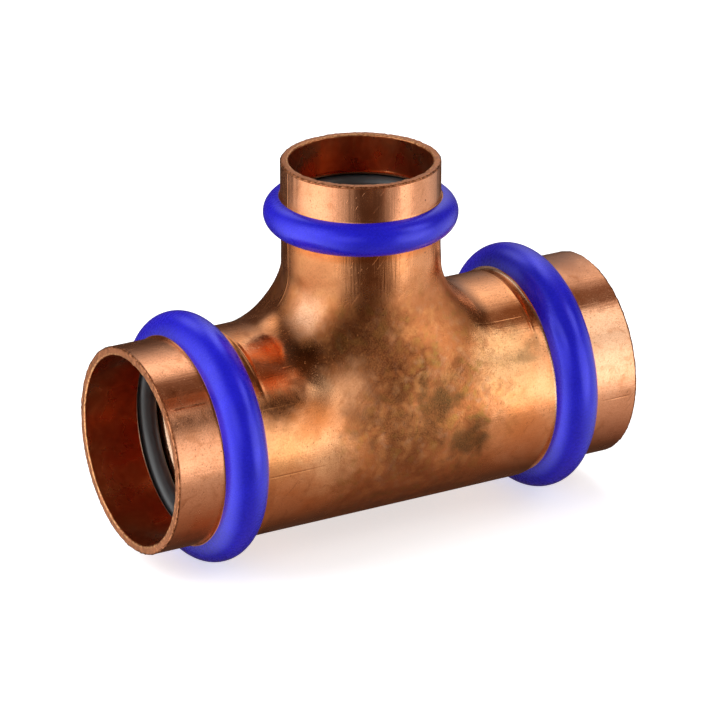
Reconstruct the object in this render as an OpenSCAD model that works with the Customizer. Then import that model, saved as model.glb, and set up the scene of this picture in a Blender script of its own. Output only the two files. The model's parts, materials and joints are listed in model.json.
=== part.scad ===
// Press-fit reducing tee in copper, for joining two pipes of one size in line
// and a smaller one at right angles. Millimetres.
// The run lies along X and the branch points up along Z.
// The origin is where the centre lines of the run and the branch cross.

/* [Run sockets] */
// Outside diameter of the pipe that the run takes
run_pipe_d = 25.4; // [23:0.1:28]
// Gap between that pipe and the socket, on the radius
run_clearance = 0.15; // [0.08:0.01:0.25]
// Wall of the run's sleeves
run_wall = 1.2; // [1:0.05:1.5]
// From the tee's centre to each end of the run
run_reach = 35.3; // [34:0.1:45]
// Plain sleeve between the rim and the blue band
run_lip = 6.8; // [6:0.1:8]
// How far the pipe goes in before it meets the stop
run_depth = 17.6; // [16:0.1:18.5]
// Thickness of the run's sealing rings
run_seal_d = 3; // [2.7:0.05:3.2]
// Room at each side of the ring in its groove
run_seal_play = 0.3; // [0.1:0.01:0.4]
// Wall of the bead, thinned as it is rolled out
run_bead_wall = 1.1; // [0.8:0.05:1.2]

/* [Branch socket] */
// Outside diameter of the pipe that the branch takes
branch_pipe_d = 19.05; // [16:0.05:20]
// Gap between that pipe and the socket, on the radius
branch_clearance = 0.12; // [0.08:0.01:0.25]
// Wall of the branch's sleeve
branch_wall = 1.085; // [0.9:0.005:1.4]
// From the tee's centre to the branch's end
branch_reach = 34.6; // [33.5:0.1:45]
// Plain sleeve between the rim and the blue band
branch_lip = 5; // [4.5:0.1:6]
// How far the pipe goes in before it meets the stop
branch_depth = 14.2; // [13:0.1:15]
// Thickness of the branch's sealing ring
branch_seal_d = 2.55; // [2.3:0.05:2.7]
// Room at each side of the ring in its groove
branch_seal_play = 0.075; // [0.05:0.005:0.2]
// Wall of the bead, thinned as it is rolled out
branch_bead_wall = 0.75; // [0.7:0.05:1]

/* [Formed body] */
// How far the body swells outside the run's sleeves
body_swell = 0.25; // [0.1:0.05:0.6]
// How far the body's axis hangs below the sleeves', its thick side being opposite the branch
body_drop = 0.4; // [0.1:0.05:0.5]
// Radius where the branch flares into the run, at its left and right
saddle_r = 6; // [4:0.1:7]
// The same at the front and the back, where it flares most gently
saddle_front_r = 24; // [12:1:28]
// Length of the neck between the band and the body's shoulder
neck_len = 1.1; // [0.9:0.1:1.6]
// How far the neck is rolled in below the sleeve
neck_cut = 0.3; // [0.2:0.05:0.4]
// Rounding of the body's shoulders
shoulder_r = 0.8; // [0.4:0.1:1.2]
// How far the pipe stops reach in over the pipe's end
stop_lip = 0.35; // [0.2:0.05:0.6]

/* [Beads and rims] */
// Thickness of the blue indicator sleeves
band_t = 0.2; // [0.15:0.01:0.3]
// How far the sealing rings stand out of the socket's wall
seal_stand = 0.15; // [0.05:0.01:0.2]
// Fillet where a bead leaves the tube
root_fillet = 0.25; // [0.15:0.05:0.4]
// Bevel on the rims' edges
rim_bevel = 0.25; // [0.1:0.05:0.4]

/* [Hidden] */
$fn = 128;

left = -1;
right = 1;

// Gap under a band and over a sealing ring
band_gap = 0.02;
seal_gap = 0.03;

// Fillets bite this far into what they join, so that the faces cross cleanly
fillet_bite = 0.01;
saddle_bite = 0.03;

// Facets round the saddle and across its fillet
saddle_steps = 96;
saddle_rows = 10;

// How late the flare's radius grows on its way from the side to the front
saddle_power = 3;

// Room that cuts run past the faces they open
past = 1;

// A bead's section is centred so that its groove seats the sealing ring
function bead_centre(bore_r, seal_d, groove_r) =
    bore_r - seal_stand + seal_d + seal_gap - groove_r;

band_over = band_gap + band_t;

run_bore_r = run_pipe_d / 2 + run_clearance;
run_sleeve_r = run_bore_r + run_wall;
run_through_r = run_pipe_d / 2 - stop_lip;
run_stop = run_reach - run_depth;
run_groove_r = run_seal_d / 2 + run_seal_play;
run_bead_r = run_groove_r + run_bead_wall;
run_bead_c = bead_centre(run_bore_r, run_seal_d, run_groove_r);
run_bead_x = run_reach - run_lip - run_bead_r - band_over;

branch_bore_r = branch_pipe_d / 2 + branch_clearance;
branch_sleeve_r = branch_bore_r + branch_wall;
branch_through_r = branch_pipe_d / 2 - stop_lip;
branch_stop = branch_reach - branch_depth;
branch_groove_r = branch_seal_d / 2 + branch_seal_play;
branch_bead_r = branch_groove_r + branch_bead_wall;
branch_bead_c = bead_centre(branch_bore_r, branch_seal_d, branch_groove_r);
branch_bead_z = branch_reach - branch_lip - branch_bead_r - band_over;

neck_r = run_sleeve_r - neck_cut;
body_r = run_sleeve_r + body_swell;
body_end = run_bead_x - run_bead_r - band_over - neck_len;
body_wall = branch_sleeve_r - branch_through_r;

copper = "#b9744a";
rubber = "#1b1b1d";
blue = "#3a37be";

// Turns a shape built along Z to point along the run, to the left or the right
module to_end(side) {
    rotate([0, side * 90, 0])
        children();
}

// Fills the corner between a bead and the tube of radius tube_r beside it,
// and leaves the round hollow of the fillet
module root_corner(tube_r, bead_c, bead_r, side) {
    reach = bead_r + root_fillet - fillet_bite;
    up = tube_r + root_fillet - fillet_bite;
    across = sqrt(reach * reach - pow(up - bead_c, 2));
    difference() {
        polygon([
            [bead_c, 0],
            [up, side * across],
            [tube_r - past, side * across],
            [tube_r - past, 0]
        ]);
        translate([up, side * across])
            circle(r = root_fillet);
    }
}

// Section of a socket's metal before it is bored: sleeve, bead and the tube behind it
module socket_section(reach, sleeve_r, tube_r, foot, bead_at, bead_c, bead_r) {
    polygon([
        [0, bead_at],
        [sleeve_r, bead_at],
        [sleeve_r, reach - rim_bevel],
        [sleeve_r - rim_bevel, reach],
        [0, reach]
    ]);
    translate([0, foot])
        square([tube_r, bead_at - foot]);
    translate([0, bead_at]) {
        translate([bead_c, 0])
            circle(r = bead_r);
        root_corner(sleeve_r, bead_c, bead_r, 1);
        root_corner(tube_r, bead_c, bead_r, -1);
    }
}

// Section of a socket's hollow: the bore down to its stop, a bevelled mouth,
// and the groove for the sealing ring with rounded lips
module hollow_section(reach, bore_r, stop, bead_at, bead_c, groove_r, lip_r) {
    lip_in = bore_r + lip_r - fillet_bite;
    lip_reach = groove_r + lip_r - fillet_bite;
    across = sqrt(lip_reach * lip_reach - pow(lip_in - bead_c, 2));
    translate([0, stop])
        square([bore_r, reach + past - stop]);
    polygon([
        [0, reach - rim_bevel],
        [bore_r, reach - rim_bevel],
        [bore_r + rim_bevel + past, reach + past],
        [0, reach + past]
    ]);
    translate([0, bead_at]) {
        translate([bead_c, 0])
            circle(r = groove_r);
        difference() {
            polygon([
                [bore_r - past, -across],
                [lip_in, -across],
                [bead_c, 0],
                [lip_in, across],
                [bore_r - past, across]
            ]);
            for (side = [-1, 1])
                translate([lip_in, side * across])
                    circle(r = lip_r);
        }
    }
}

module run_socket() {
    rotate_extrude()
        socket_section(run_reach, run_sleeve_r, neck_r, run_stop,
                       run_bead_x, run_bead_c, run_bead_r);
}

module run_hollow() {
    rotate_extrude()
        hollow_section(run_reach, run_bore_r, run_stop,
                       run_bead_x, run_bead_c, run_groove_r, run_wall);
}

module branch_socket() {
    rotate_extrude()
        socket_section(branch_reach, branch_sleeve_r, branch_sleeve_r, 0,
                       branch_bead_z, branch_bead_c, branch_bead_r);
}

module branch_hollow() {
    rotate_extrude()
        hollow_section(branch_reach, branch_bore_r, branch_stop,
                       branch_bead_z, branch_bead_c, branch_groove_r, branch_wall);
}

// Barrel of the body between the two necks, with rounded shoulders
module body_barrel() {
    flat_end = body_end - shoulder_r;
    rotate_extrude() {
        translate([0, -flat_end])
            square([body_r, 2 * flat_end]);
        translate([0, -body_end])
            square([body_r - shoulder_r, 2 * body_end]);
        for (end = [-flat_end, flat_end])
            translate([body_r - shoulder_r, end])
                circle(r = shoulder_r);
    }
}

// Radius of the flare at the angle a about the branch, with extra added for a surface inside it
function flare_r(a, extra) =
    saddle_r + (saddle_front_r - saddle_r) * pow(abs(sin(a)), saddle_power) + extra;

// Middle of a ball of radius ball_r that rests in the corner
// between the run and the branch, at that angle
function ball_middle(run_r, branch_r, ball_r, a) =
    let (y = (branch_r + ball_r) * sin(a))
    [(branch_r + ball_r) * cos(a), y, sqrt(pow(run_r + ball_r, 2) - y * y)];

// Points of the flare's section at that angle: the arc round the ball from the branch
// to the run, then one point sunk below both surfaces to close the section
function saddle_section(run_r, branch_r, extra, a) =
    let (
        ball_r = flare_r(a, extra),
        middle = ball_middle(run_r, branch_r, ball_r, a),
        to_branch = [-cos(a), -sin(a), 0],
        to_run = -[0, middle.y, middle.z] / (run_r + ball_r),
        turn = acos(to_branch * to_run),
        sunk_r = branch_r - past,
        sunk_z = sqrt(run_r * run_r - pow(sunk_r * sin(a), 2)) - past
    )
    concat(
        [for (row = [0 : saddle_rows])
            let (t = row / saddle_rows)
            middle + (ball_r + saddle_bite) / sin(turn)
                * (sin((1 - t) * turn) * to_branch + sin(t * turn) * to_run)],
        [[sunk_r * cos(a), sunk_r * sin(a), sunk_z]]
    );

// Ring that fills the corner between the run and the branch with the flare
module saddle(run_r, branch_r, extra) {
    count = saddle_rows + 2;
    sections = [for (step = [0 : saddle_steps - 1])
        saddle_section(run_r, branch_r, extra, step * 360 / saddle_steps)];
    function at(step, row) = (step % saddle_steps) * count + row % count;
    polyhedron(
        points = [for (section = sections) for (point = section) point],
        faces = [for (step = [0 : saddle_steps - 1]) for (row = [0 : count - 1])
            for (face = [
                [at(step, row), at(step + 1, row), at(step + 1, row + 1)],
                [at(step, row), at(step + 1, row + 1), at(step, row + 1)]
            ]) face]
    );
}

// Waterway through the middle of the tee, inside the pipe stops
module waterway() {
    rotate([0, 90, 0])
        cylinder(r = run_through_r, h = 2 * run_stop + 2 * past, center = true);
    cylinder(r = branch_through_r, h = branch_stop + past);
    saddle(run_through_r, branch_through_r, body_wall);
}

module tee_body() {
    color(copper)
        difference() {
            union() {
                for (side = [left, right])
                    to_end(side)
                        run_socket();
                branch_socket();
                translate([0, 0, -body_drop]) {
                    rotate([0, 90, 0])
                        body_barrel();
                    saddle(body_r, branch_sleeve_r, 0);
                }
            }
            for (side = [left, right])
                to_end(side)
                    run_hollow();
            branch_hollow();
            waterway();
        }
}

// Round sealing ring lying in a bead's groove
module seal_ring(bore_r, seal_d, bead_at) {
    color(rubber)
        translate([0, 0, bead_at])
            rotate_extrude()
                translate([bore_r - seal_stand + seal_d / 2, 0])
                    circle(d = seal_d);
}

module run_seal_left() {
    to_end(left)
        seal_ring(run_bore_r, run_seal_d, run_bead_x);
}

module run_seal_right() {
    to_end(right)
        seal_ring(run_bore_r, run_seal_d, run_bead_x);
}

module branch_seal() {
    seal_ring(branch_bore_r, branch_seal_d, branch_bead_z);
}

// Thin sleeve that hugs the outside of a bead and ends at its fillets
module band_sleeve(sleeve_r, bead_at, bead_c, bead_r) {
    foot = sleeve_r + root_fillet;
    wide = bead_r + band_over + past;
    color(blue)
        translate([0, 0, bead_at])
            rotate_extrude()
                difference() {
                    intersection() {
                        translate([bead_c, 0])
                            circle(r = bead_r + band_over);
                        translate([foot, -wide])
                            square([2 * wide, 2 * wide]);
                    }
                    translate([bead_c, 0])
                        circle(r = bead_r + band_gap);
                }
}

module run_band_left() {
    to_end(left)
        band_sleeve(run_sleeve_r, run_bead_x, run_bead_c, run_bead_r);
}

module run_band_right() {
    to_end(right)
        band_sleeve(run_sleeve_r, run_bead_x, run_bead_c, run_bead_r);
}

module branch_band() {
    band_sleeve(branch_sleeve_r, branch_bead_z, branch_bead_c, branch_bead_r);
}

tee_body();
run_seal_left();
run_seal_right();
branch_seal();
run_band_left();
run_band_right();
branch_band();
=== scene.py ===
import json
import math

import bpy
import numpy as np
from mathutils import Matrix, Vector, noise


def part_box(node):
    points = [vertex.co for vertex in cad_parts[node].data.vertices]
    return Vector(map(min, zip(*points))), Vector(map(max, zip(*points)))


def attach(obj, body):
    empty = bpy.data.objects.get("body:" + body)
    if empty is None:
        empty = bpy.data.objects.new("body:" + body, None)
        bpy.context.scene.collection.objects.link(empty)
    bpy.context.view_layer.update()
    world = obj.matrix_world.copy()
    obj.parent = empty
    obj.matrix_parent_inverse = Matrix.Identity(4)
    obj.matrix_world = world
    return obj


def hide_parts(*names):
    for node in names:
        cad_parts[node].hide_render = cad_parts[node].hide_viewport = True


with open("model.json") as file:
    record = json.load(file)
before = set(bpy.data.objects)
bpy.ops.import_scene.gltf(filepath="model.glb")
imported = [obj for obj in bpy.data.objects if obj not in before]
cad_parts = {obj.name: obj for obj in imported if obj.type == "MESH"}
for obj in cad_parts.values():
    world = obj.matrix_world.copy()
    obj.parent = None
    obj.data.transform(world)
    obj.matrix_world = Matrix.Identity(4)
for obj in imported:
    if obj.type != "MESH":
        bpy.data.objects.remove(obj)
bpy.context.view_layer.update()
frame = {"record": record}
bpy.ops.object.select_all(action="DESELECT")


# Run sockets of the copper body
# The two ends of the run are plain copper tube, sized to the pipe and rolled out into a bead
# that holds the sealing ring. The rims are sawn square and lightly bevelled.
mm = 0.001
mount = {m["name"]: m for m in frame["record"]["mounts"]}
run_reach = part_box("tee_body")[1].x
run_bore = mount["right_socket"]["dims"]["r_mm"] * mm
run_wall = 1.2 * mm
run_sleeve = run_bore + run_wall
neck_depth = 0.3 * mm
run_neck = run_sleeve - neck_depth
run_stop_step = 0.5 * mm
run_waterway = run_bore - run_stop_step
run_stop_depth = 17.6 * mm
run_stop = run_reach - run_stop_depth
rim_bevel = 0.25 * mm
rim_depth = 0.3 * mm
bead_fillet = 0.25 * mm
barrel_swell = 0.25 * mm
barrel_r = run_sleeve + barrel_swell
barrel_drop = 0.4 * mm
shoulder_r = 0.8 * mm
round_steps = 112
# an outline has a point this far beside a bend, so that the straight stretch next to it shades flat
beside_bend = 0.2 * mm


def arc(centre, radius, start, end, count):
    """Points of an arc in an outline's plane, as (along the axis, out from it), in degrees from the axis."""
    turns = np.radians(np.linspace(start, end, count + 1))
    return [(centre[0] + radius * math.cos(t), centre[1] + radius * math.sin(t)) for t in turns]


def bead_outside(along, out, bead, front_r, back_r):
    """Outline over a bead, from the sleeve before it to the tube behind it, with a fillet at each foot."""
    reach = bead + bead_fillet
    front = math.asin((front_r + bead_fillet - out) / reach)
    back = math.asin((back_r + bead_fillet - out) / reach)
    front_centre = (along + reach * math.cos(front), front_r + bead_fillet)
    back_centre = (along - reach * math.cos(back), back_r + bead_fillet)
    front_deg, back_deg = math.degrees(front), math.degrees(back)
    return (
        [(front_centre[0] + beside_bend, front_r)]
        + arc(front_centre, bead_fillet, 270, 180 + front_deg, 5)
        + arc((along, out), bead, front_deg, 180 - back_deg, 20)[1:-1]
        + arc(back_centre, bead_fillet, -back_deg, -90, 5)
        + [(back_centre[0] - beside_bend, back_r)]
    )


def groove_inside(along, out, groove, bore, back_lip, front_lip):
    """Outline of the groove inside a bead, from its back lip to its front one, both rounded."""
    back = math.asin((bore + back_lip - out) / (groove + back_lip))
    front = math.asin((bore + front_lip - out) / (groove + front_lip))
    back_centre = (along - (groove + back_lip) * math.cos(back), bore + back_lip)
    front_centre = (along + (groove + front_lip) * math.cos(front), bore + front_lip)
    back_deg, front_deg = math.degrees(back), math.degrees(front)
    return (
        arc(back_centre, back_lip, 270, 360 - back_deg, 6)
        + arc((along, out), groove, 180 - back_deg, front_deg, 16)[1:-1]
        + arc(front_centre, front_lip, 180 + front_deg, 270, 6)
    )


def rim_outline(reach, bore, sleeve):
    """Outline of a sawn rim, from the broken edge in its mouth to the one outside."""
    corner = reach - rim_bevel
    to_flat = 1.35 * rim_bevel
    return (
        [(corner - beside_bend, bore)]
        + arc((corner, bore + rim_bevel), rim_bevel, 270, 352, 4)
        + [(reach, bore + to_flat), (reach, sleeve - to_flat)]
        + arc((corner, sleeve - rim_bevel), rim_bevel, 8, 90, 4)
        + [(corner - beside_bend, sleeve)]
    )


def turn_outline(name, outline, axis, steps):
    """Draws an outline point by point and spins it round X or Z."""
    def place(point):
        return Vector((point[0], 0, point[1])) if axis == "X" else Vector((point[1], 0, point[0]))

    bpy.ops.object.select_all(action="DESELECT")
    bpy.ops.mesh.primitive_plane_add(size=mm, location=place(outline[0]))
    piece = bpy.context.object
    piece.name = name
    bpy.ops.object.transform_apply()
    bpy.ops.object.mode_set(mode="EDIT")
    bpy.ops.mesh.select_all(action="SELECT")
    bpy.ops.mesh.merge(type="CENTER")
    for here, there in zip(outline, outline[1:]):
        bpy.ops.mesh.extrude_vertices_move(TRANSFORM_OT_translate={"value": place(there) - place(here)})
    bpy.ops.mesh.select_all(action="SELECT")
    around = (1, 0, 0) if axis == "X" else (0, 0, 1)
    bpy.ops.mesh.spin(steps=steps, angle=math.tau, center=(0, 0, 0), axis=around)
    bpy.ops.mesh.select_all(action="SELECT")
    bpy.ops.mesh.remove_doubles(threshold=0.001 * mm)
    bpy.ops.mesh.normals_make_consistent(inside=False)
    bpy.ops.object.mode_set(mode="OBJECT")
    return piece


def select_only(piece):
    """Selects one piece and makes it the active one."""
    bpy.ops.object.select_all(action="DESELECT")
    piece.select_set(True)
    bpy.context.view_layer.objects.active = piece


def mirrored_copy(piece, name):
    """Copies a piece, with a mesh of its own, to the run's other end and turns its faces out again."""
    select_only(piece)
    bpy.ops.object.duplicate()
    twin = bpy.context.object
    twin.name = name
    bpy.ops.transform.resize(value=(-1, 1, 1), center_override=(0, 0, 0))
    bpy.ops.object.transform_apply()
    bpy.ops.object.mode_set(mode="EDIT")
    bpy.ops.mesh.select_all(action="SELECT")
    bpy.ops.mesh.normals_make_consistent(inside=False)
    bpy.ops.object.mode_set(mode="OBJECT")
    return twin


run_seal_low, run_seal_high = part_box("run_seal_right")
run_bead_x = (run_seal_low.x + run_seal_high.x) / 2
run_seal = (run_seal_high.x - run_seal_low.x) / 2
run_play = 0.3 * mm
seal_gap = 0.03 * mm
run_groove = run_seal + run_play
run_bead_out = run_seal_high.z + seal_gap - run_groove
run_bead_wall = 1.1 * mm
run_bead = run_groove + run_bead_wall
run_back_lip = 1.2 * mm
run_front_lip = 0.5 * mm
film = 0.22 * mm
band_half = run_bead + film
neck_length = 1.1 * mm
barrel_end = run_bead_x - band_half - neck_length - shoulder_r
shoulder_short = 14
shoulder_lean = math.degrees(math.acos((run_neck - barrel_r + shoulder_r) / shoulder_r)) - shoulder_short
before_shoulder = 0.12 * mm
outline = (
    [(run_stop, run_waterway), (run_stop, run_waterway + run_stop_step / 2), (run_stop, run_bore)]
    + groove_inside(run_bead_x, run_bead_out, run_groove, run_bore, run_back_lip, run_front_lip)
    + rim_outline(run_reach, run_bore, run_sleeve)
    + bead_outside(run_bead_x, run_bead_out, run_bead, run_sleeve, run_neck)
    + [(barrel_end + shoulder_r + before_shoulder, run_neck)]
    + arc((barrel_end, barrel_r - shoulder_r), shoulder_r, 90 - shoulder_lean, 90, 8)
)
right_socket = turn_outline("right_socket", outline, "X", round_steps)


def part_way(value, low, high):
    """How far a value has come from low to high, held between 0 and 1."""
    return min(1, max(0, (value - low) / (high - low)))


# the barrel's axis hangs lower than the sockets', so the shoulder slides down to meet it,
# and the tube runs flush to the bead except over the top
band_foot_x = run_bead_x - math.sqrt(band_half ** 2 - (run_sleeve + bead_fillet - run_bead_out) ** 2)
shoulder_back = barrel_end - 0.1 * mm
shoulder_front = band_foot_x - 0.6 * mm
bead_back = run_bead_x - 0.85 * run_bead
drop_length = 1.4 * mm
slack = 0.005 * mm
neck_turn = 24
flush_turn = 50
side_turn = 80
under_turn = 110
for v in right_socket.data.vertices:
    out = math.hypot(v.co.y, v.co.z)
    if shoulder_back < v.co.x < bead_back and out > run_neck - slack:
        turn = math.atan2(v.co.y, v.co.z)
        off_top = abs(math.degrees(turn))
        on_shoulder = v.co.x < shoulder_front
        rise = part_way(out, run_neck, barrel_r) if on_shoulder else 0
        flush = max(rise, part_way(off_top, neck_turn, flush_turn))
        under = part_way(off_top, side_turn, under_turn)
        near_foot = part_way(band_foot_x - v.co.x, 0, drop_length)
        drop = barrel_drop * (1 - under * (1 - near_foot))
        barrel = Vector((v.co.x, barrel_r * math.sin(turn), barrel_r * math.cos(turn) - drop))
        if on_shoulder or math.hypot(barrel.y, barrel.z) > out:
            v.co = v.co.lerp(barrel, flush)

# the rim is divided more finely, to take the saw's burr
bpy.ops.object.mode_set(mode="EDIT")
bpy.ops.mesh.select_mode(type="FACE")
bpy.ops.mesh.select_all(action="DESELECT")
bpy.ops.object.mode_set(mode="OBJECT")
for face in right_socket.data.polygons:
    face.select = face.center.x > run_reach - rim_depth
bpy.ops.object.mode_set(mode="EDIT")
bpy.ops.mesh.subdivide(number_cuts=1)
bpy.ops.mesh.select_mode(type="VERT")
bpy.ops.object.mode_set(mode="OBJECT")
left_socket = mirrored_copy(right_socket, "left_socket")


# Branch socket of the copper body
# The branch is drawn out of the run's side. Its end is sized to the smaller pipe, rolled out into
# a bead of its own and sawn square, like the run's.
branch_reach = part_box("tee_body")[1].z
branch_bore = mount["branch_socket"]["dims"]["r_mm"] * mm
branch_wall = 1.085 * mm
branch_sleeve = branch_bore + branch_wall
branch_stop_step = 0.47 * mm
branch_waterway = branch_bore - branch_stop_step
branch_stop_depth = 14.2 * mm
branch_stop = branch_reach - branch_stop_depth
branch_seal_low, branch_seal_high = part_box("branch_seal")
branch_bead_z = (branch_seal_low.z + branch_seal_high.z) / 2
branch_seal = (branch_seal_high.z - branch_seal_low.z) / 2
branch_play = 0.075 * mm
branch_groove = branch_seal + branch_play
branch_bead_out = branch_seal_high.x + seal_gap - branch_groove
branch_bead_wall = 0.75 * mm
branch_bead = branch_groove + branch_bead_wall
branch_lip = branch_wall
branch_foot = branch_bead_z - branch_bead - 2 * bead_fillet
seam_steps = 48
column_steps = 2 * (round_steps + seam_steps)
outline = (
    [(branch_stop, branch_waterway), (branch_stop, branch_bore)]
    + groove_inside(branch_bead_z, branch_bead_out, branch_groove, branch_bore, branch_lip, branch_lip)
    + rim_outline(branch_reach, branch_bore, branch_sleeve)
    + bead_outside(branch_bead_z, branch_bead_out, branch_bead, branch_sleeve, branch_sleeve)
    + [(branch_foot, branch_sleeve)]
)
branch_socket = turn_outline("branch_socket", outline, "Z", column_steps)


# Formed middle of the copper body
# Pressing opens the branch out of the run, so the two meet in a flare that is tight at the sides
# and long at the front and back. Inside, the waterway follows it at an even wall.
flare_side = 6 * mm
flare_front = 24 * mm
flare_wall = branch_sleeve - branch_waterway


def formed_skin(name, run_r, run_axis, branch_r, wall, end, top, rows):
    """Wraps a grid down the branch, over the flare and round the run to its ends.

    A ball rolls round the corner and the flare is the surface it touches. Past it the grid's edge
    is stretched to the run's two end circles and to a seam along its underside. The rows are those
    down the branch, over the flare and round the run.
    """
    bpy.ops.object.select_all(action="DESELECT")
    bpy.ops.mesh.primitive_grid_add(x_subdivisions=column_steps, y_subdivisions=sum(rows), size=mm)
    skin = bpy.context.object
    skin.name = name
    column = np.arange(column_steps + 1)
    turn = math.tau * column / column_steps
    cos, sin = np.cos(turn), np.sin(turn)
    ball = flare_side + (flare_front - flare_side) * np.abs(sin) ** 3 + wall
    middle = np.stack([(branch_r + ball) * cos, (branch_r + ball) * sin, 0 * turn], 1)
    middle[:, 2] = np.sqrt((run_r + ball) ** 2 - middle[:, 1] ** 2)
    lines = []
    for t in np.linspace(0, 1, rows[0] + 1):
        height = top + t * (middle[:, 2] + run_axis - top)
        lines.append(np.stack([branch_r * cos, branch_r * sin, height], 1))
    to_branch = np.stack([-cos, -sin, 0 * turn], 1)
    to_run = -middle * (0, 1, 1) / (run_r + ball)[:, None]
    bend = np.arccos((to_branch * to_run).sum(1))[:, None]
    for t in np.linspace(0, 1, rows[1] + 1)[1:]:
        towards = (np.sin((1 - t) * bend) * to_branch + np.sin(t * bend) * to_run) / np.sin(bend)
        lines.append(middle + ball[:, None] * towards + (0, 0, run_axis))
    corners = np.cumsum([0, round_steps / 2, seam_steps, round_steps, seam_steps, round_steps / 2])
    edge_x = np.interp(column, corners, [end, end, -end, -end, end, end])
    edge_turn = np.interp(column, corners, [0, -math.pi, -math.pi, math.pi, math.pi, 0])
    toe_turn = np.arctan2(-middle[:, 1], middle[:, 2])
    for t in np.linspace(0, 1, rows[2] + 1)[1:]:
        x = middle[:, 0] + t * (edge_x - middle[:, 0])
        roll = toe_turn + t * (edge_turn - toe_turn)
        lines.append(np.stack([x, -run_r * np.sin(roll), run_r * np.cos(roll) + run_axis], 1))
    skin.data.vertices.foreach_set("co", np.concatenate(lines).ravel())
    return skin


outer_skin = formed_skin(
    "outer_skin", barrel_r, -barrel_drop, branch_sleeve, 0, barrel_end, branch_foot, (8, 36, 26)
)
inner_skin = formed_skin(
    "inner_skin", run_waterway, 0, branch_waterway, flare_wall, run_stop, branch_stop, (4, 20, 14)
)


# Copper of the body
# Bare copper, bright where the ends are sized and drawn, and dull, grainy and stained olive where the
# branch was pressed out. Highlights, shade and reflections are also painted into its colour in places.
# Inside, the annealed tube keeps a redder skin.
def node_maker(tree):
    """Returns a function that adds a node, sets its sockets and gives one of its outputs."""
    def put(kind, sockets=None, output=0, **settings):
        made = tree.nodes.new("ShaderNode" + kind)
        for name, value in settings.items():
            setattr(made, name, value)
        for name, value in (sockets or {}).items():
            if isinstance(value, bpy.types.NodeSocket):
                tree.links.new(value, made.inputs[name])
            else:
                made.inputs[name].default_value = value
        return made.outputs[output]
    return put


def new_material(name):
    """A material with a Principled shader, and the function that adds its nodes."""
    made = bpy.data.materials.new(name)
    made.use_nodes = True
    return made, made.node_tree.nodes["Principled BSDF"], node_maker(made.node_tree)


def millimetres(put):
    """The place on the piece, in millimetres."""
    return put("VectorMath", {0: put("TexCoord", output="Object"), "Scale": 1 / mm}, operation="SCALE")


def grain(put, place, scale, detail, stretch=(1, 1, 1), distortion=0.0):
    """Noise from 0 to 1, its scale in waves per millimetre. A small stretch draws it out along that axis."""
    drawn = put("Mapping", {"Vector": place, "Scale": stretch})
    return put("TexNoise", {"Vector": drawn, "Scale": scale, "Detail": detail, "Distortion": distortion})


def ramp(put, value, low, high, to_low=0.0, to_high=1.0):
    """Goes softly from one level to another as a value goes from low to high, and stays there."""
    return put(
        "MapRange",
        {"Value": value, "From Min": low, "From Max": high, "To Min": to_low, "To Max": to_high},
        interpolation_type="SMOOTHSTEP",
    )


def calc(put, operation, first, second=0.0, third=0.0):
    """One sum with two values, or with three for MULTIPLY_ADD."""
    return put("Math", {0: first, 1: second, 2: third}, operation=operation)


def tint(put, share, under, over):
    """Lays one colour over another by a share from 0 to 1."""
    under, over = [(*c, 1) if isinstance(c, tuple) else c for c in (under, over)]
    return put("Mix", {"Factor": share, 6: under, 7: over}, output=2, data_type="RGBA")


copper, copper_shader, put = new_material("formed_copper")
place = millimetres(put)
across, deep, high = put("SeparateXYZ", {0: place}).node.outputs
from_middle = calc(put, "ABSOLUTE", across)
roll = calc(put, "MULTIPLY", calc(put, "ARCTAN2", high, calc(put, "MULTIPLY", deep, -1.0)), 180 / math.pi)

# where each finish ends and the next begins, in millimetres from the middle or above the run's axis
formed_to = 8.5
drawn_from = 15
flare_to = 16
branch_from = 23
run_sleeve_from = 28.2
branch_sleeve_from = 29.4
sleeve_soft = 0.3
run_end = run_reach / mm
branch_end = branch_reach / mm
rim_from = 0.34
rim_full = 0.22
waver = 8.0
wobble = grain(put, place, 0.3, 4, distortion=0.5)
wavy = calc(put, "MULTIPLY_ADD", wobble, waver, -waver / 2)
ends = ramp(put, calc(put, "ADD", from_middle, wavy), formed_to, drawn_from)
branch = ramp(put, calc(put, "ADD", high, wavy), flare_to, branch_from)
branch = calc(put, "MULTIPLY", branch, calc(put, "SUBTRACT", 1.0, ends))
formed = calc(put, "SUBTRACT", 1.0, calc(put, "MAXIMUM", ends, branch))
run_ends = ramp(put, from_middle, run_sleeve_from, run_sleeve_from + sleeve_soft)
branch_top = ramp(put, high, branch_sleeve_from, branch_sleeve_from + sleeve_soft)
sleeves = calc(put, "MAXIMUM", run_ends, branch_top)
run_rim = ramp(put, from_middle, run_end - rim_from, run_end - rim_full)
branch_rim = ramp(put, high, branch_end - rim_from, branch_end - rim_full)
rims = calc(put, "MAXIMUM", run_rim, branch_rim)

cloud = grain(put, place, 0.16, 5, distortion=0.8)
mottle = grain(put, place, 0.55, 4, distortion=0.4)
speckle = grain(put, place, 4.6, 3)
torn_edge = grain(put, place, 0.45, 8, distortion=0.3)


def near(middle, radius, ragged):
    """From 1 at a place on the surface to 0 at a radius from it, with a ragged edge. All in mm."""
    off = put("VectorMath", {0: place, 1: middle}, output="Value", operation="DISTANCE")
    torn = calc(put, "MULTIPLY_ADD", torn_edge, 3 * ragged, -1.5 * ragged)
    return ramp(put, calc(put, "ADD", off, torn), radius, radius * 0.1)


def stains(under, marks):
    """Lays ragged spots over a colour, each with its middle, radius, raggedness, cover and shade."""
    for middle, radius, ragged, cover, shade in marks:
        under = tint(put, calc(put, "MULTIPLY", near(middle, radius, ragged), cover), under, shade)
    return under


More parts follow.
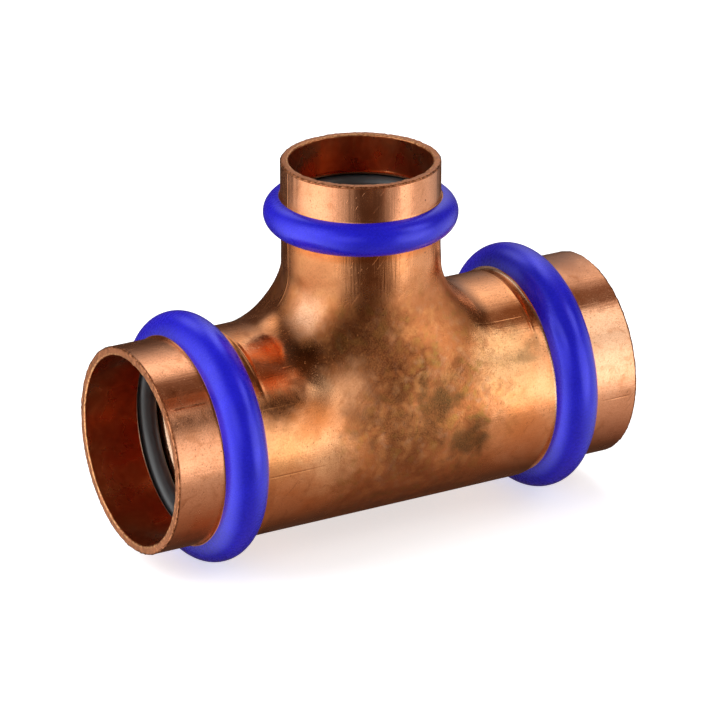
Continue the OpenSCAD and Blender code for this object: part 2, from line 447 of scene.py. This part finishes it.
fresh = (0.93, 0.41, 0.185)
aged = (0.83, 0.31, 0.11)
sized = (0.90, 0.42, 0.235)
dull = (0.52, 0.17, 0.055)
pale_highlight = (0.97, 0.62, 0.38)
flame = (0.95, 0.24, 0.075)
top_shade = (0.38, 0.15, 0.075)
colour = tint(put, ramp(put, cloud, 0.35, 0.68), fresh, aged)
colour = tint(put, calc(put, "MULTIPLY", sleeves, 0.75), colour, sized)
# a painted pale highlight on the right sleeve's front, a flame-red stain low on the left sleeve, and painted
# shade along the top of the right sleeve
colour = stains(colour, (
    ((31.5, -12, 6.5), 9, 2, 0.7, pale_highlight),
    ((-30.5, -11, -8.6), 6, 2, 0.8, flame),
    ((31, -1.5, 13.9), 6, 2, 0.75, top_shade),
))
colour = tint(put, calc(put, "MULTIPLY", formed, 0.85), colour, dull)

# painted golden highlights on the run beside the flare, painted dark reflections across the flare's front,
# a painted highlight low at its left and a painted pink one above it, painted dark, red and cream
# reflections of the left bead beside that bead, and a rust-red stain low at the right
golden_highlight = (0.98, 0.58, 0.27)
amber_highlight = (0.98, 0.46, 0.18)
dark_reflection = (0.11, 0.03, 0.01)
rosy_highlight = (1.0, 0.52, 0.25)
pink_highlight = (0.97, 0.46, 0.22)
dark_bead_reflection = (0.12, 0.034, 0.011)
red_bead_reflection = (0.95, 0.20, 0.045)
cream_bead_reflection = (0.98, 0.62, 0.38)
rust = (0.75, 0.22, 0.06)
colour = stains(colour, (
    ((16, -12, 7), 8, 3, 0.75, golden_highlight),
    ((-18.7, -14.1, 1.8), 6, 3, 0.75, amber_highlight),
    ((-3.5, -11, 10.5), 9.5, 2.5, 0.95, dark_reflection),
    ((0.5, -12.3, 7.5), 7, 2.5, 0.85, dark_reflection),
    ((-1.5, -14, -1), 8, 2.5, 0.65, dark_reflection),
    ((-5.5, -14, 2.6), 4.5, 2.5, 0.7, dark_reflection),
    ((-13, -14.2, -1.8), 7, 2.5, 0.9, rosy_highlight),
    ((-9.3, -11.8, 7.3), 5.5, 2, 0.85, pink_highlight),
    ((-19, -11.7, 7.7), 4.6, 1.5, 0.92, dark_bead_reflection),
    ((-13.0, -7.3, 12.9), 3.4, 1, 0.85, dark_bead_reflection),
    ((-18.6, -9.2, 10.6), 3.6, 1.5, 0.8, red_bead_reflection),
    ((-17.6, -5.9, 12.6), 4.5, 1, 0.8, cream_bead_reflection),
    ((18, -14.1, -3), 6, 2, 0.6, rust),
))
browned = ramp(put, grain(put, place, 0.34, 4, distortion=1.2), 0.52, 0.75, 0, 0.45)
colour = tint(put, browned, colour, (0.47, 0.15, 0.045))

# the press wears the formed middle into fine patches, least at the painted pink highlight and the painted
# dark reflection on the flare's front
worn = calc(put, "MAXIMUM", calc(put, "MULTIPLY", formed, 0.55), near((8, -12.5, 4), 13, 4))
for middle, radius in (((-9.3, -11.8, 7.3), 6), ((-3.5, -11.3, 10), 8)):
    worn = calc(put, "MULTIPLY", worn, ramp(put, near(middle, radius, 1.5), 0, 1, 1, 0.25))
patches = grain(put, place, 0.5, 6, distortion=0.25)
haze = grain(put, put("Mapping", {"Vector": place, "Location": (31, 7, 3)}), 0.7, 6, distortion=0.2)
for share, shade in (
    (ramp(put, patches, 0.48, 0.68, 0, 0.5), (0.97, 0.47, 0.16)),
    (ramp(put, haze, 0.50, 0.70, 0, 0.45), (0.56, 0.33, 0.19)),
    (ramp(put, patches, 0.50, 0.32, 0, 0.7), (0.43, 0.25, 0.055)),
    (ramp(put, haze, 0.50, 0.32, 0, 0.6), (0.33, 0.12, 0.04)),
):
    colour = tint(put, calc(put, "MULTIPLY", worn, share), colour, shade)
# olive stains over the pressed middle, a row of painted dark shade low across its front, a tan patch at its
# lower left, and a painted highlight at the flare's left with painted shade beside it
olive = (0.15, 0.08, 0.03)
dark_band_shade = (0.15, 0.05, 0.017)
tan = (0.62, 0.19, 0.05)
blush_highlight = (1.0, 0.55, 0.28)
shade_by_highlight = (0.15, 0.04, 0.012)
colour = stains(colour, (
    ((4.4, -13.6, 3.9), 4.6, 3, 0.9, olive),
    ((8.5, -14.1, -2.6), 4.8, 3, 0.85, olive),
    ((0.5, -13.8, 2.2), 4.5, 3, 0.4, olive),
    ((19.5, -11.5, 8.1), 3.2, 3, 0.45, olive),
    ((-7.9, -13.7, 3.6), 4.2, 2, 0.65, dark_band_shade),
    ((-2.8, -14, 2.7), 5, 2, 0.65, dark_band_shade),
    ((2.9, -14.1, 1.8), 4.2, 2, 0.65, dark_band_shade),
    ((-14.6, -13.3, 4.9), 4.2, 2, 0.75, tan),
    ((-12.7, -11, 8.8), 3, 1, 0.85, blush_highlight),
    ((-15.5, -10.6, 9.2), 2.4, 1, 0.85, shade_by_highlight),
))
# a painted lighter patch on the branch's left side, rougher too, which hides the red reflection of the left
# bead there
bead_reflection_cover = near((-9.6, -4.6, 21.3), 5.5, 1)
colour = tint(put, calc(put, "MULTIPLY", bead_reflection_cover, 0.8), colour, (0.93, 0.45, 0.20))

# the sawn rims are brown, with a painted glint along the burr round the mouth and a painted shadow line
# along the broken edge outside
saw = grain(put, place, 2.2, 4)
sawn = calc(put, "MULTIPLY", rims, ramp(put, speckle, 0.4, 0.6, 0.85, 0.35))
colour = tint(put, sawn, colour, (0.55, 0.21, 0.09))
for rim, flatten, bore, sleeve in (
    (run_rim, (0, 1, 1), run_bore / mm, run_sleeve / mm),
    (branch_rim, (1, 1, 0), branch_bore / mm, branch_sleeve / mm),
):
    flattened = put("VectorMath", {0: place, 1: flatten}, operation="MULTIPLY")
    from_axis = put("VectorMath", {0: flattened}, output="Value", operation="LENGTH")
    mouth = calc(put, "MULTIPLY", rim, ramp(put, from_axis, bore + 0.42, bore + 0.16))
    mouth = calc(put, "MULTIPLY", mouth, ramp(put, saw, 0.42, 0.58, 0, 0.9))
    colour = tint(put, mouth, colour, (1.0, 0.55, 0.25))
    edge = calc(put, "MULTIPLY", rim, ramp(put, from_axis, sleeve - 0.34, sleeve - 0.14))
    edge = calc(put, "MULTIPLY", edge, ramp(put, saw, 0.60, 0.42, 0, 0.85))
    colour = tint(put, edge, colour, (0.2, 0.06, 0.02))

# a painted highlight at the flare's left side, pale on the run's beads, and a painted orange glow of
# reflected light just under the branch's band
saddle_highlight = near((-11.2, -4.6, 16), 4.2, 1)
colour = tint(put, saddle_highlight, colour, (0.98, 0.53, 0.31))
beads = calc(put, "MULTIPLY", ramp(put, from_middle, 21.9, 22.3), ramp(put, from_middle, 28.3, 28.0))
colour = tint(put, beads, colour, (0.95, 0.64, 0.44))
under_band_glow = calc(put, "MULTIPLY", ramp(put, high, 23.4, 24.5), ramp(put, high, 29.2, 28.8))
colour = tint(put, calc(put, "MULTIPLY", under_band_glow, 0.6), colour, (0.80, 0.22, 0.05))

# a fine speckle all over, and a few dark pits
colour = tint(put, ramp(put, speckle, 0.38, 0.75, 0, 0.35), colour, (0.55, 0.20, 0.06))
cells = put("TexVoronoi", {"Vector": place, "Scale": 0.42}).node.outputs
chosen = ramp(put, put("SeparateColor", {"Color": cells["Color"]}), 0.70, 0.72)
pits = calc(put, "MULTIPLY", chosen, ramp(put, cells["Distance"], 0.075, 0.045))
colour = tint(put, calc(put, "MULTIPLY", pits, 0.75), colour, (0.16, 0.05, 0.02))

polished = 0.17
rough = calc(put, "ADD", ramp(put, mottle, 0.3, 0.75, -0.03, 0.08), polished)
rough = calc(put, "ADD", rough, ramp(put, speckle, 0.3, 0.75, -0.02, 0.06))
for finish, rougher in ((formed, 0.16), (rims, 0.18), (saddle_highlight, -0.08), (bead_reflection_cover, 0.22)):
    rough = calc(put, "MULTIPLY_ADD", finish, rougher, rough)

# marks in relief, in millimetres: drawn along the run, brushed up the branch, rubbed, sawn and scratched
drawn = grain(put, place, 2.6, 4, stretch=(0.03, 1, 1))
brushed = grain(put, place, 4.0, 4, stretch=(1, 1, 0.04))
slanted = put("Mapping", {"Vector": place, "Rotation": (0.2, 0.7, 0)})
rubbed = grain(put, slanted, 2.4, 3, stretch=(0.06, 1, 1))
across_grain = put("Mapping", {"Vector": place, "Rotation": (0.3, 0.9, 0.4)})
scratches = ramp(put, grain(put, across_grain, 1.0, 2, stretch=(0.12, 5, 5)), 0.68, 0.74)
height = 0.0
for where, mark, tall in (
    (ends, drawn, 0.010),
    (branch, brushed, ramp(put, sleeves, 0, 1, 0.03, 0.012)),
    (worn, mottle, 0.045),
    (1.0, speckle, ramp(put, worn, 0, 1, 0.008, 0.034)),
    (formed, rubbed, 0.016),
    (rims, saw, 0.13),
    (1.0, scratches, -0.015),
):
    height = calc(put, "MULTIPLY_ADD", calc(put, "MULTIPLY", where, mark), tall, height)

tube_r = 14.1
line_fade = 0.8


def draw_line(turn, start, end, width):
    """A line that the die drew along the run: its degrees above the front, its ends and width in mm."""
    off = calc(put, "ABSOLUTE", calc(put, "SUBTRACT", roll, turn))
    beside = ramp(put, off, math.degrees(width / tube_r), 0.0)
    middle, half = (start + end) / 2, abs(end - start) / 2
    along = calc(put, "ABSOLUTE", calc(put, "SUBTRACT", across, middle))
    return calc(put, "MULTIPLY", beside, ramp(put, along, half, half - line_fade))


for turn, start, end in (
    (31, -22.3, -16.6),
    (52, 11.4, 20.5),
    (42, -34.5, -29.2),
    (-5.5, 29.4, 34.5),
    (52, -17.3, -14.5),
    (-6, -22.3, -13.3),
):
    line = calc(put, "MULTIPLY", draw_line(turn, start, end, 0.2), ramp(put, wobble, 0.3, 0.6, 0.2, 1))
    height = calc(put, "MULTIPLY_ADD", line, -0.02, height)
    colour = tint(put, calc(put, "MULTIPLY", line, 0.4), colour, (0.35, 0.14, 0.05))
# a painted dark streak of shade along the left sleeve
dark_streak_shade = draw_line(44, -35.5, -28.4, 2.3)
colour = tint(put, calc(put, "MULTIPLY", dark_streak_shade, 0.75), colour, (0.30, 0.09, 0.035))
# a raised line up the branch's left side, where the halves of the die met
seam_y = 0.9
seam_off = calc(put, "ABSOLUTE", calc(put, "SUBTRACT", deep, seam_y))
seam = calc(put, "MULTIPLY", ramp(put, seam_off, 0.25, 0.0), ramp(put, high, 15, 16.5))
seam = calc(put, "MULTIPLY", seam, ramp(put, across, -10, -10.4))
height = calc(put, "MULTIPLY_ADD", seam, 0.05, height)
colour = tint(put, calc(put, "MULTIPLY", seam, 0.5), colour, (0.32, 0.11, 0.04))

links = copper.node_tree.links
links.new(colour, copper_shader.inputs["Base Color"])
links.new(rough, copper_shader.inputs["Roughness"])
copper_shader.inputs["Metallic"].default_value = 1
links.new(put("Bump", {"Height": height, "Distance": mm}), copper_shader.inputs["Normal"])

annealed, annealed_shader, put = new_material("annealed_copper")
place = millimetres(put)
skin_cloud = grain(put, place, 0.3, 5, distortion=0.6)
skin_lines = grain(put, place, 2.0, 3, stretch=(0.1, 1, 1))
skin = tint(put, ramp(put, skin_cloud, 0.35, 0.7), (0.80, 0.30, 0.12), (0.60, 0.17, 0.055))
links = annealed.node_tree.links
links.new(skin, annealed_shader.inputs["Base Color"])
links.new(ramp(put, skin_cloud, 0.3, 0.7, 0.24, 0.38), annealed_shader.inputs["Roughness"])
annealed_shader.inputs["Metallic"].default_value = 1
skin_height = calc(put, "MULTIPLY", skin_lines, 0.008)
links.new(put("Bump", {"Height": skin_height, "Distance": mm}), annealed_shader.inputs["Normal"])

skin_depth = 0.03 * mm
groove_skin = 0.1 * mm
for socket, upright, bead_at, bead_out, bore, groove in (
    (left_socket, False, run_bead_x, run_bead_out, run_bore, run_groove),
    (right_socket, False, run_bead_x, run_bead_out, run_bore, run_groove),
    (branch_socket, True, branch_bead_z, branch_bead_out, branch_bore, branch_groove),
):
    socket.data.materials.append(copper)
    socket.data.materials.append(annealed)
    for face in socket.data.polygons:
        x, y, z = face.center
        along, out = (z, math.hypot(x, y)) if upright else (abs(x), math.hypot(y, z))
        in_groove = math.hypot(along - bead_at, out - bead_out) < groove + groove_skin
        face.material_index = int(out < bore + skin_depth or in_groove)
outer_skin.data.materials.append(copper)
inner_skin.data.materials.append(annealed)

bpy.ops.object.select_all(action="DESELECT")
for shell in (inner_skin, left_socket, right_socket, branch_socket, outer_skin):
    shell.select_set(True)
bpy.context.view_layer.objects.active = outer_skin
bpy.ops.object.join()
tee = bpy.context.object
tee.name = "tee_copper"
bpy.ops.object.mode_set(mode="EDIT")
bpy.ops.mesh.select_all(action="SELECT")
bpy.ops.mesh.remove_doubles(threshold=0.004 * mm)
bpy.ops.mesh.normals_make_consistent(inside=False)
bpy.ops.object.mode_set(mode="OBJECT")

# pressing leaves the middle slightly uneven outside, and sawing leaves the rims rough, all in millimetres
spots = np.empty(len(tee.data.vertices) * 3)
tee.data.vertices.foreach_get("co", spots)
spots = spots.reshape(-1, 3) / mm
facing = np.empty(len(tee.data.vertices) * 3)
tee.data.vertices.foreach_get("normal", facing)
facing = facing.reshape(-1, 3)
aside, front, up = np.abs(spots[:, 0]), spots[:, 1], spots[:, 2]
run_half_wall = 13.2
branch_half_wall = 10.2
inner = (np.hypot(front, up) < run_half_wall) & ((up < 12) | (np.hypot(aside, front) < branch_half_wall))
inward = (up < 13) & (facing[:, 1] * front + facing[:, 2] * up < 0)
pressed_half = 18
pressed_top = 25
pressed_bottom = -10
pressed_soft = 5
fade = np.clip((pressed_half - aside) / pressed_soft, 0, 1)
fade *= np.clip((pressed_top - up) / pressed_soft, 0, 1)
fade *= np.clip((up - pressed_bottom) / pressed_soft, 0, 1)
fade[inner | inward] = 0
for middle, radius, depth in (
    ((-7.5, -12.8, 6.0), 4.5, 0.22),
    ((2.5, -13.9, 3.0), 4.2, 0.20),
    ((8.0, -14.1, -1.5), 4.2, 0.18),
    ((-11.0, -5.0, 15.5), 3.2, 0.12),
    ((10.5, -12.3, 7.0), 4.2, -0.14),
    ((-3.0, -14.2, -2.0), 5.0, 0.16),
    ((6.0, 13.4, 4.0), 4.5, 0.18),
    ((-6.5, 13.8, 1.5), 5.0, 0.15),
    ((-9.5, 10.5, 9.5), 4.0, 0.15),
):
    off = np.linalg.norm(spots - middle, axis=1) / radius
    spots -= facing * (depth * fade * np.clip(1 - off * off, 0, 1) ** 2)[:, None]
burr_height = 0.11
burr_grain = 1.7
wear_depth = 0.12
wear_grain = 1.1
run_mouth = aside > run_end - rim_depth / mm
branch_mouth = up > branch_end - rim_depth / mm
for i in np.flatnonzero(run_mouth | branch_mouth):
    burr = burr_height * max(0, noise.noise(spots[i] * burr_grain))
    worn_back = wear_depth * abs(noise.noise(spots[i] * wear_grain))
    end_axis = 2 if branch_mouth[i] else 0
    spots[i] += facing[i] * burr
    spots[i, end_axis] -= np.sign(spots[i, end_axis]) * worn_back
spots[:, 0] = np.clip(spots[:, 0], -run_end, run_end)
spots[:, 2] = np.minimum(spots[:, 2], branch_end)
tee.data.vertices.foreach_set("co", (spots * mm).ravel())
pressed = tee.vertex_groups.new(name="pressed")
fade_steps = 10
for step in range(1, fade_steps + 1):
    at_step = np.flatnonzero(np.ceil(fade * fade_steps) == step)
    pressed.add(at_step.tolist(), step / fade_steps, "REPLACE")
ripple = bpy.data.textures.new("press_ripple", "CLOUDS")
ripple.noise_scale = 6.5 * mm
ripple.noise_depth = 1
uneven = tee.modifiers.new("uneven", "DISPLACE")
uneven.texture = ripple
uneven.texture_coords = "LOCAL"
uneven.vertex_group = "pressed"
uneven.mid_level = 0.5
uneven.strength = 0.4 * mm
bpy.ops.object.modifier_apply(modifier="uneven")
smooth_to = math.radians(40)
bpy.ops.object.shade_smooth_by_angle(angle=smooth_to)
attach(tee, "root")
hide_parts("tee_body")


# Sealing rings
# Moulded black rubber rings, lightly greased, one in the groove inside each bead. The pipe squeezes
# them as it is pushed in. A fine ridge from the mould runs round each one.
rubber, rubber_shader, put = new_material("greased_rubber")
place = millimetres(put)
grease = grain(put, place, 0.5, 4, distortion=0.5)
black = tint(put, grease, (0.040, 0.048, 0.052), (0.062, 0.074, 0.079))
links = rubber.node_tree.links
links.new(black, rubber_shader.inputs["Base Color"])
links.new(ramp(put, grease, 0.3, 0.7, 0.34, 0.46), rubber_shader.inputs["Roughness"])
rubber_shader.inputs["Specular IOR Level"].default_value = 1
rubber_shader.inputs["Coat Weight"].default_value = 0.6
rubber_shader.inputs["Coat Roughness"].default_value = 0.3
rubber_height = calc(put, "MULTIPLY", grain(put, place, 4, 3), 0.004)
links.new(put("Bump", {"Height": rubber_height, "Distance": mm}), rubber_shader.inputs["Normal"])
ridge_height = 0.02 * mm
ring_steps = 96


def ring_section(along, out, radius):
    """Round section of a moulded ring, with the mould's ridge at its inner and outer edge."""
    ridge = radius + ridge_height
    return (
        arc((along, out), radius, -84, 84, 18)
        + [(along, out + ridge)]
        + arc((along, out), radius, 96, 264, 18)
        + [(along, out - ridge)]
        + arc((along, out), radius, -84, -84, 0)
    )


run_ring = ring_section(run_bead_x, run_seal_high.z - run_seal, run_seal)
right_ring = turn_outline("run_seal_right_ring", run_ring, "X", ring_steps)
left_ring = mirrored_copy(right_ring, "run_seal_left_ring")
small_ring = ring_section(branch_bead_z, branch_seal_high.x - branch_seal, branch_seal)
branch_ring = turn_outline("branch_seal_ring", small_ring, "Z", ring_steps)
for ring, node in (
    (right_ring, "run_seal_right"),
    (left_ring, "run_seal_left"),
    (branch_ring, "branch_seal"),
):
    select_only(ring)
    bpy.ops.object.shade_smooth_by_angle(angle=smooth_to)
    ring.data.materials.append(rubber)
    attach(ring, "root")
    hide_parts(node)


# Blue bands
# Thin sleeves of blue plastic film shrunk over the beads, so they follow them closely and swell
# slightly. A sleeve that is still there shows a joint that hasn't been pressed.
blue, blue_shader, put = new_material("blue_sleeve")
place = millimetres(put)
blue_cloud = grain(put, place, 0.25, 3)
blue_grain = grain(put, place, 2.4, 3)
blue_colour = tint(put, ramp(put, blue_cloud, 0.3, 0.7), (0.010, 0.008, 0.66), (0.014, 0.011, 0.78))
links = blue.node_tree.links
links.new(blue_colour, blue_shader.inputs["Base Color"])
links.new(ramp(put, blue_grain, 0.3, 0.7, 0.24, 0.32), blue_shader.inputs["Roughness"])
blue_shader.inputs["Metallic"].default_value = 0.28
blue_shader.inputs["Coat Weight"].default_value = 0.45
blue_shader.inputs["Coat Roughness"].default_value = 0.24
run_marks = grain(put, place, 1.6, 3, stretch=(1, 0.12, 0.12))
branch_marks = grain(put, place, 1.6, 3, stretch=(0.12, 0.12, 1))
blue_height = calc(put, "ADD", blue_grain, calc(put, "ADD", run_marks, branch_marks))
blue_height = calc(put, "MULTIPLY", blue_height, 0.003)
links.new(put("Bump", {"Height": blue_height, "Distance": mm}), blue_shader.inputs["Normal"])
film_gap = 0.02 * mm
band_steps = 144


def sleeve_section(along, out, bead, foot):
    """Section of a sleeve that hugs a bead from one foot to the other."""
    lean = math.degrees(math.asin((foot - out) / (bead + film)))
    closed = arc((along, out), bead + film, lean, 180 - lean, 30)
    closed += arc((along, out), bead + film_gap, 180 - lean, lean, 14)
    return closed + closed[:1]


run_section = sleeve_section(run_bead_x, run_bead_out, run_bead, run_sleeve + bead_fillet)
right_band = turn_outline("run_band_right_sleeve", run_section, "X", band_steps)
branch_section = sleeve_section(branch_bead_z, branch_bead_out, branch_bead, branch_sleeve + bead_fillet)
branch_band = turn_outline("branch_band_sleeve", branch_section, "Z", band_steps)
swell_size = 3.5 * mm
swell_height = 0.02 * mm
for band in (right_band, branch_band):
    swell = [v.normal * noise.noise(v.co / swell_size) * swell_height for v in band.data.vertices]
    for v, grown in zip(band.data.vertices, swell):
        v.co += grown
left_band = mirrored_copy(right_band, "run_band_left_sleeve")

# the right sleeve caught a short crease as it was pulled on, on the flank towards the branch
crease_x = run_bead_x - 2.05 * mm
crease_turn = 34.5
crease_half_turn = 9
crease_slant = 0.12 * mm
crease_half_width = 0.42 * mm
crease_depth = 0.12 * mm
outside_r = run_bead + 0.1 * mm
dips = []
for v in right_band.data.vertices:
    off_middle = (math.degrees(math.atan2(v.co.z, -v.co.y)) - crease_turn) / crease_half_turn
    off_side = (v.co.x - crease_x + crease_slant * off_middle) / crease_half_width
    outer = math.hypot(v.co.x - run_bead_x, math.hypot(v.co.y, v.co.z) - run_bead_out) > outside_r
    share = max(0, 1 - off_middle ** 2) * max(0, 1 - off_side ** 2) if outer else 0
    dips.append(v.normal * share * crease_depth)
for v, dip in zip(right_band.data.vertices, dips):
    v.co -= dip
for band, node in (
    (right_band, "run_band_right"),
    (left_band, "run_band_left"),
    (branch_band, "branch_band"),
):
    select_only(band)
    bpy.ops.object.shade_smooth_by_angle(angle=smooth_to)
    band.data.materials.append(blue)
    # the copper beside a band mirrors the warm bead under it, as in the photo, and not the blue
    band.visible_glossy = False
    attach(band, "root")
    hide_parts(node)


# Studio
# A white floor and backdrop. The bare copper mirrors a darker room with soft windows of light
# at the left, right and back, as in the photo.
floor_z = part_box("run_band_right")[0].z
bpy.ops.object.select_all(action="DESELECT")
bpy.ops.mesh.primitive_plane_add(size=3, location=(0, 0, floor_z))
floor = bpy.context.object
floor.name = "floor"
paper, paper_shader, put = new_material("white_paper")
paper_shader.inputs["Base Color"].default_value = (0.8, 0.8, 0.8, 1)
paper_shader.inputs["Roughness"].default_value = 0.9
paper_shader.inputs["Specular IOR Level"].default_value = 0
paper_shader.inputs["Emission Color"].default_value = (1, 1, 1, 1)
floor_glow = ramp(put, put("LightPath", output="Is Camera Ray"), 0, 1, 0.1, 0.6)
paper.node_tree.links.new(floor_glow, paper_shader.inputs["Emission Strength"])
floor.data.materials.append(paper)
floor.visible_glossy = False


def direction(azimuth, elevation):
    """Unit vector towards a place in the studio. Azimuth 0 is the front, and 90 the right."""
    a, e = math.radians(azimuth), math.radians(elevation)
    return Vector((math.sin(a) * math.cos(e), -math.cos(a) * math.cos(e), math.sin(e)))


bpy.ops.mesh.primitive_uv_sphere_add(segments=48, ring_count=24, radius=0.3)
room = bpy.context.object
room.name = "dark_room"
walls = bpy.data.materials.new("room_walls")
walls.use_nodes = True
walls.node_tree.nodes.clear()
put = node_maker(walls.node_tree)
towards = put("VectorMath", {0: put("TexCoord", output="Object")}, operation="NORMALIZE")
white = Vector((1, 1, 1))
warm = Vector((1, 0.6, 0.42))
coppery = Vector((1, 0.42, 0.18))
wall_glow = 0.075
light = warm * wall_glow
# each window's place, the radius of its even middle and of its soft edge in degrees, its strength,
# how far it is squashed flat, and its shade
for azimuth, elevation, core, soft, strength, squash, shade in (
    (-96, -10, 2, 65, 1.7, 0.5, white),
    (-46, 22, 6, 20, 0.6, 1, white),
    (33, 8, 14, 15, 1.08, 0.85, white),
    (60, -8, 24, 40, 0.72, 1.8, white),
    (50, 42, 8, 9, 1.3, 1, white),
    (88, 58, 5, 20, 0.15, 1, warm),
    (135, 62, 2, 35, 1.5, 0.32, white),
    (-176, 49, 2, 24, 1.05, 0.72, white),
    (20, -62, 10, 45, 0.2, 1, warm),
    (42, 57, 3, 7, 0.45, 1, coppery),
):
    flat = Vector((1, 1, squash))
    aim = (direction(azimuth, elevation) * flat).normalized()
    squashed = put("VectorMath", {0: towards, 1: flat}, operation="MULTIPLY")
    squashed = put("VectorMath", {0: squashed}, operation="NORMALIZE")
    facing_it = put("VectorMath", {0: squashed, 1: aim}, output="Value", operation="DOT_PRODUCT")
    angle = calc(put, "ARCCOSINE", facing_it)
    share = ramp(put, angle, math.radians(core + soft), math.radians(core), 0, strength)
    pane = put("VectorMath", {0: shade, "Scale": share}, operation="SCALE")
    light = put("VectorMath", {0: light, 1: pane}, operation="ADD")
shine = put("Emission", {"Color": light})
surface = walls.node_tree.nodes.new("ShaderNodeOutputMaterial")
walls.node_tree.links.new(shine, surface.inputs["Surface"])
room.data.materials.append(walls)
room.visible_camera = False
room.visible_diffuse = False
room.visible_shadow = False
room.visible_transmission = False

world = bpy.data.worlds.new("white_backdrop")
bpy.context.scene.world = world
world.use_nodes = True
put = node_maker(world.node_tree)
path = put("LightPath").node.outputs
seen = calc(put, "MAXIMUM", path["Is Camera Ray"], path["Is Glossy Ray"])
seen = calc(put, "MAXIMUM", seen, path["Is Transmission Ray"])
sky = world.node_tree.nodes["Background"]
sky.inputs["Color"].default_value = (1, 1, 1, 1)
world.node_tree.links.new(ramp(put, seen, 0, 1, 0.5, 1), sky.inputs["Strength"])

lamp_distance = 0.5


def softbox(name, azimuth, elevation, size, power):
    """A square lamp that lights the floor and the dull surfaces, and that metal doesn't mirror."""
    panel = bpy.data.lights.new(name, "AREA")
    panel.shape = "RECTANGLE"
    panel.size = size
    panel.size_y = size
    panel.energy = power
    lamp = bpy.data.objects.new(name, panel)
    lamp.location = direction(azimuth, elevation) * lamp_distance
    lamp.rotation_euler = direction(azimuth, elevation).to_track_quat("Z", "Y").to_euler()
    lamp.visible_glossy = False
    bpy.context.scene.collection.objects.link(lamp)


softbox("left_window", -95, 35, 0.3, 1.5)
softbox("right_window", 50, 38, 0.25, 0.4)
softbox("back_window", 140, 60, 0.3, 0.8)


# Camera
# It looks from the front left and from above through a long lens. Its place was fitted to the
# outlines in the photo.
camera_azimuth = -29.86
camera_elevation = 22.23
camera_distance = 714.93 * mm
camera_left = 0.09 * mm
camera_up = 5.36 * mm
view_back = direction(camera_azimuth, camera_elevation)
view_right = Vector((0, 0, 1)).cross(view_back).normalized()
view_up = view_back.cross(view_right)
camera = bpy.data.objects.new("camera", bpy.data.cameras.new("camera"))
camera.location = view_back * camera_distance - view_right * camera_left + view_up * camera_up
camera.rotation_euler = view_back.to_track_quat("Z", "Y").to_euler()
camera.data.lens = 264.6
camera.data.sensor_width = 36
camera.data.clip_start = 0.01
camera.data.clip_end = 20
bpy.context.scene.collection.objects.link(camera)
bpy.context.scene.camera = camera
bpy.context.scene.view_settings.view_transform = "Standard"
